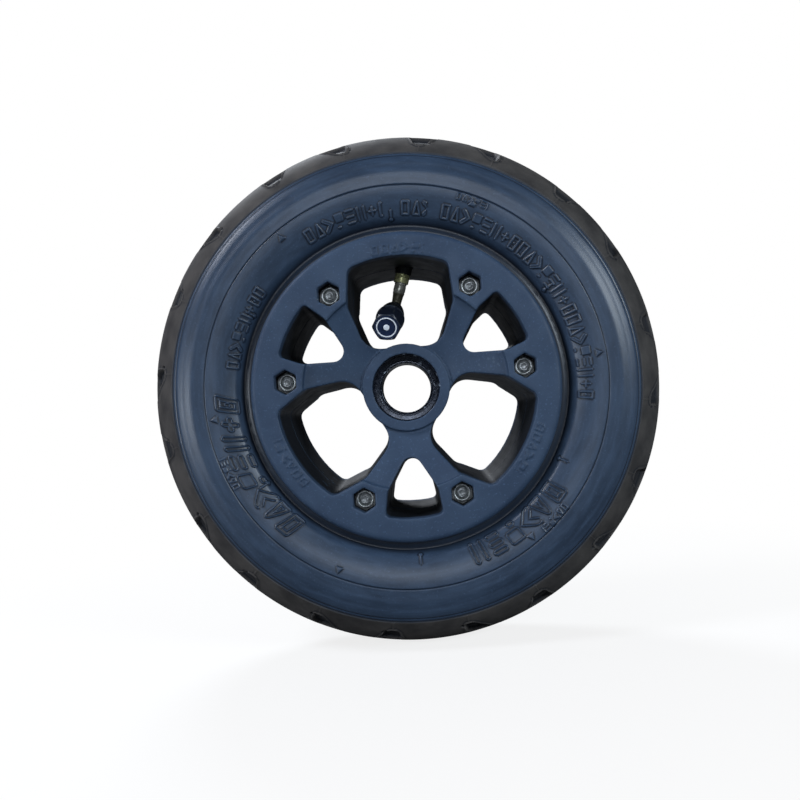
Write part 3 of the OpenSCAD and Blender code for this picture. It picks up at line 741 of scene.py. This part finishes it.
def make_pin_and_spring():
    pin_r, flange, tip = 0.6, 18.2, 21.3
    pin = [[0, 12.5], [0.45, 12.5], [pin_r, 12.65], [pin_r, 17.8], [1.4, 17.8], [1.4, flange],
           [pin_r, flange], [pin_r, 20.9], [1.0, 20.95], [1.0, 21.2], [0.8, tip], [0, tip]]
    turned("core_pin_turned", pin, CORE, HEAD, 64, False, 0.08, body="valve_pin",
           stands_for=["valve_core_pin"])
    coil_r, wire_r, low, high, foot = 1.05, 0.17, 14.17, 17.63, 14.0
    steps, turns, sides, squashed = 600, 5, 16, 0.69
    t = np.linspace(0, 1, steps)
    around, angle = t * turns * TAU, np.arange(sides) * TAU / sides
    lead = math.atan2(high - low, turns * TAU * coil_r)
    out = coil_r + wire_r * np.cos(angle)[None, :]
    rise = wire_r * np.sin(angle)[None, :]
    c, s = np.cos(around)[:, None], np.sin(around)[:, None]
    coil = np.stack([out * c + rise * math.sin(lead) * s, out * s - rise * math.sin(lead) * c,
                     low + (high - low) * t[:, None] + rise * math.cos(lead)], -1)
    spring = piece("core_spring_coiled", place(coil.reshape(-1, 3), HEAD), quads(steps, sides, False, True),
                   SPRING, stands_for=["valve_core_spring"])
    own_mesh(spring)


make_tyre()
make_hub("front_hub_half", "front_hub_moulded", 1)
make_hub("rear_hub_half", "rear_hub_moulded", -1)
make_sleeve()
make_fasteners()
make_stem()
make_ferrule_and_boot()
make_cap()
make_pin_and_spring()

# the CAD pieces that keep their own meshes: all of them are inside, and only take a material
for node, look, slot in (("front_bead_wire", WIRE, "bead_wire"), ("rear_bead_wire", WIRE, "bead_wire"),
                         ("inner_tube", TUBE, "tube_rubber"), ("valve_patch", TUBE, "tube_rubber"),
                         ("valve_core_body", CORE, "core_brass"),
                         ("valve_core_gasket", GASKET, "core_gasket"),
                         ("valve_core_seal", TUBE, "tube_rubber")):
    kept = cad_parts[node]
    kept.data.materials.clear()
    kept.data.materials.append(look)


# ---------------------------------------------------------------- floor, light and camera

def make_floor():
    """A pale floor that fades into the white surround, and throws little light back on the wheel."""
    mesh = bpy.data.meshes.new("floor")
    half, level = 6.0, -87.6 * MM
    corners = [(-half, -half, level), (half, -half, level), (half, half, level), (-half, half, level)]
    mesh.from_pydata(corners, [], [(0, 1, 2, 3)])
    floor = bpy.data.objects.new("floor", mesh)
    bpy.context.scene.collection.objects.link(floor)
    m = bpy.data.materials.new("floor_paint")
    m.use_nodes = True
    nodes, link = m.node_tree.nodes, m.node_tree.links.new
    paint = nodes["Principled BSDF"]
    paint.inputs["Roughness"].default_value = 0.9
    path, where = nodes.new("ShaderNodeLightPath"), nodes.new("ShaderNodeTexCoord")
    tone = nodes.new("ShaderNodeMapRange")            # pale to the eye, dull in what it throws back
    for key, x in zip(("To Min", "To Max"), (0.12, 0.9)):
        tone.inputs[key].default_value = x
    link(path.outputs["Is Camera Ray"], tone.inputs["Value"])
    link(tone.outputs["Result"], paint.inputs["Base Color"])
    length = nodes.new("ShaderNodeVectorMath")
    length.operation = "LENGTH"
    link(where.outputs["Object"], length.inputs[0])
    fade = nodes.new("ShaderNodeMapRange")            # metres out, and how much of the white glow covers it
    for key, x in zip(("From Min", "From Max", "To Min", "To Max"), (0.08, 0.3, 0.8, 1.0)):
        fade.inputs[key].default_value = x
    link(length.outputs["Value"], fade.inputs["Value"])
    seen = nodes.new("ShaderNodeMath")
    seen.operation = "MULTIPLY"
    link(fade.outputs["Result"], seen.inputs[0])
    link(path.outputs["Is Camera Ray"], seen.inputs[1])
    glow, mix = nodes.new("ShaderNodeEmission"), nodes.new("ShaderNodeMixShader")
    link(seen.outputs["Value"], mix.inputs["Fac"])
    link(paint.outputs["BSDF"], mix.inputs[1])
    link(glow.outputs["Emission"], mix.inputs[2])
    link(mix.outputs["Shader"], nodes["Material Output"].inputs["Surface"])
    mesh.materials.append(m)


def studio_light(name, around, lean, power, colour, size=0.35, distance=1.1):
    """A round lamp aimed at the wheel's centre, lean degrees off its axis, around degrees round from +X."""
    a, b = math.radians(around), math.radians(lean)
    light = bpy.data.lights.new(name, "AREA")
    light.shape = "DISK"
    light.size = size
    light.energy = power
    light.color = colour
    obj = bpy.data.objects.new(name, light)
    bpy.context.scene.collection.objects.link(obj)
    obj.location = distance * Vector((math.sin(b) * math.cos(a), -math.cos(b), math.sin(b) * math.sin(a)))
    obj.rotation_euler = (-obj.location).to_track_quat("-Z", "Y").to_euler()


def make_world():
    """White to the camera, and a faint cool light on everything else."""
    world = bpy.data.worlds.new("studio")
    bpy.context.scene.world = world
    world.use_nodes = True
    nodes, link = world.node_tree.nodes, world.node_tree.links.new
    nodes.clear()
    seen, lit = nodes.new("ShaderNodeBackground"), nodes.new("ShaderNodeBackground")
    seen.inputs["Color"].default_value = (1, 1, 1, 1)
    lit.inputs["Color"].default_value = (0.86, 0.93, 1, 1)
    lit.inputs["Strength"].default_value = 0.025
    path, mix = nodes.new("ShaderNodeLightPath"), nodes.new("ShaderNodeMixShader")
    out = nodes.new("ShaderNodeOutputWorld")
    link(path.outputs["Is Camera Ray"], mix.inputs["Fac"])
    link(lit.outputs["Background"], mix.inputs[1])
    link(seen.outputs["Background"], mix.inputs[2])
    link(mix.outputs["Shader"], out.inputs["Surface"])


make_floor()
make_world()
studio_light("left", 185, 50, 6.6, (0.85, 0.92, 1))
studio_light("right", 24, 50, 7, (0.82, 0.92, 1))
studio_light("above", 135, 72, 7, (0.88, 0.91, 1))
studio_light("front", 90, 16, 2.8, (0.84, 0.91, 1))
studio_light("behind", 110, 132, 9, (0.88, 0.93, 1))

scene = bpy.context.scene
scene.view_settings.view_transform = "Standard"
camera = bpy.data.objects.new("photo_camera", bpy.data.cameras.new("photo_camera"))
scene.collection.objects.link(camera)
camera.data.sensor_width = 36
camera.data.lens = 38.2
camera.data.clip_start = 0.01
camera.location = (0.004, -0.3, -0.008)
camera.rotation_euler = Euler([math.radians(v) for v in (90.775, 3.981, 1.334)])
scene.camera = camera
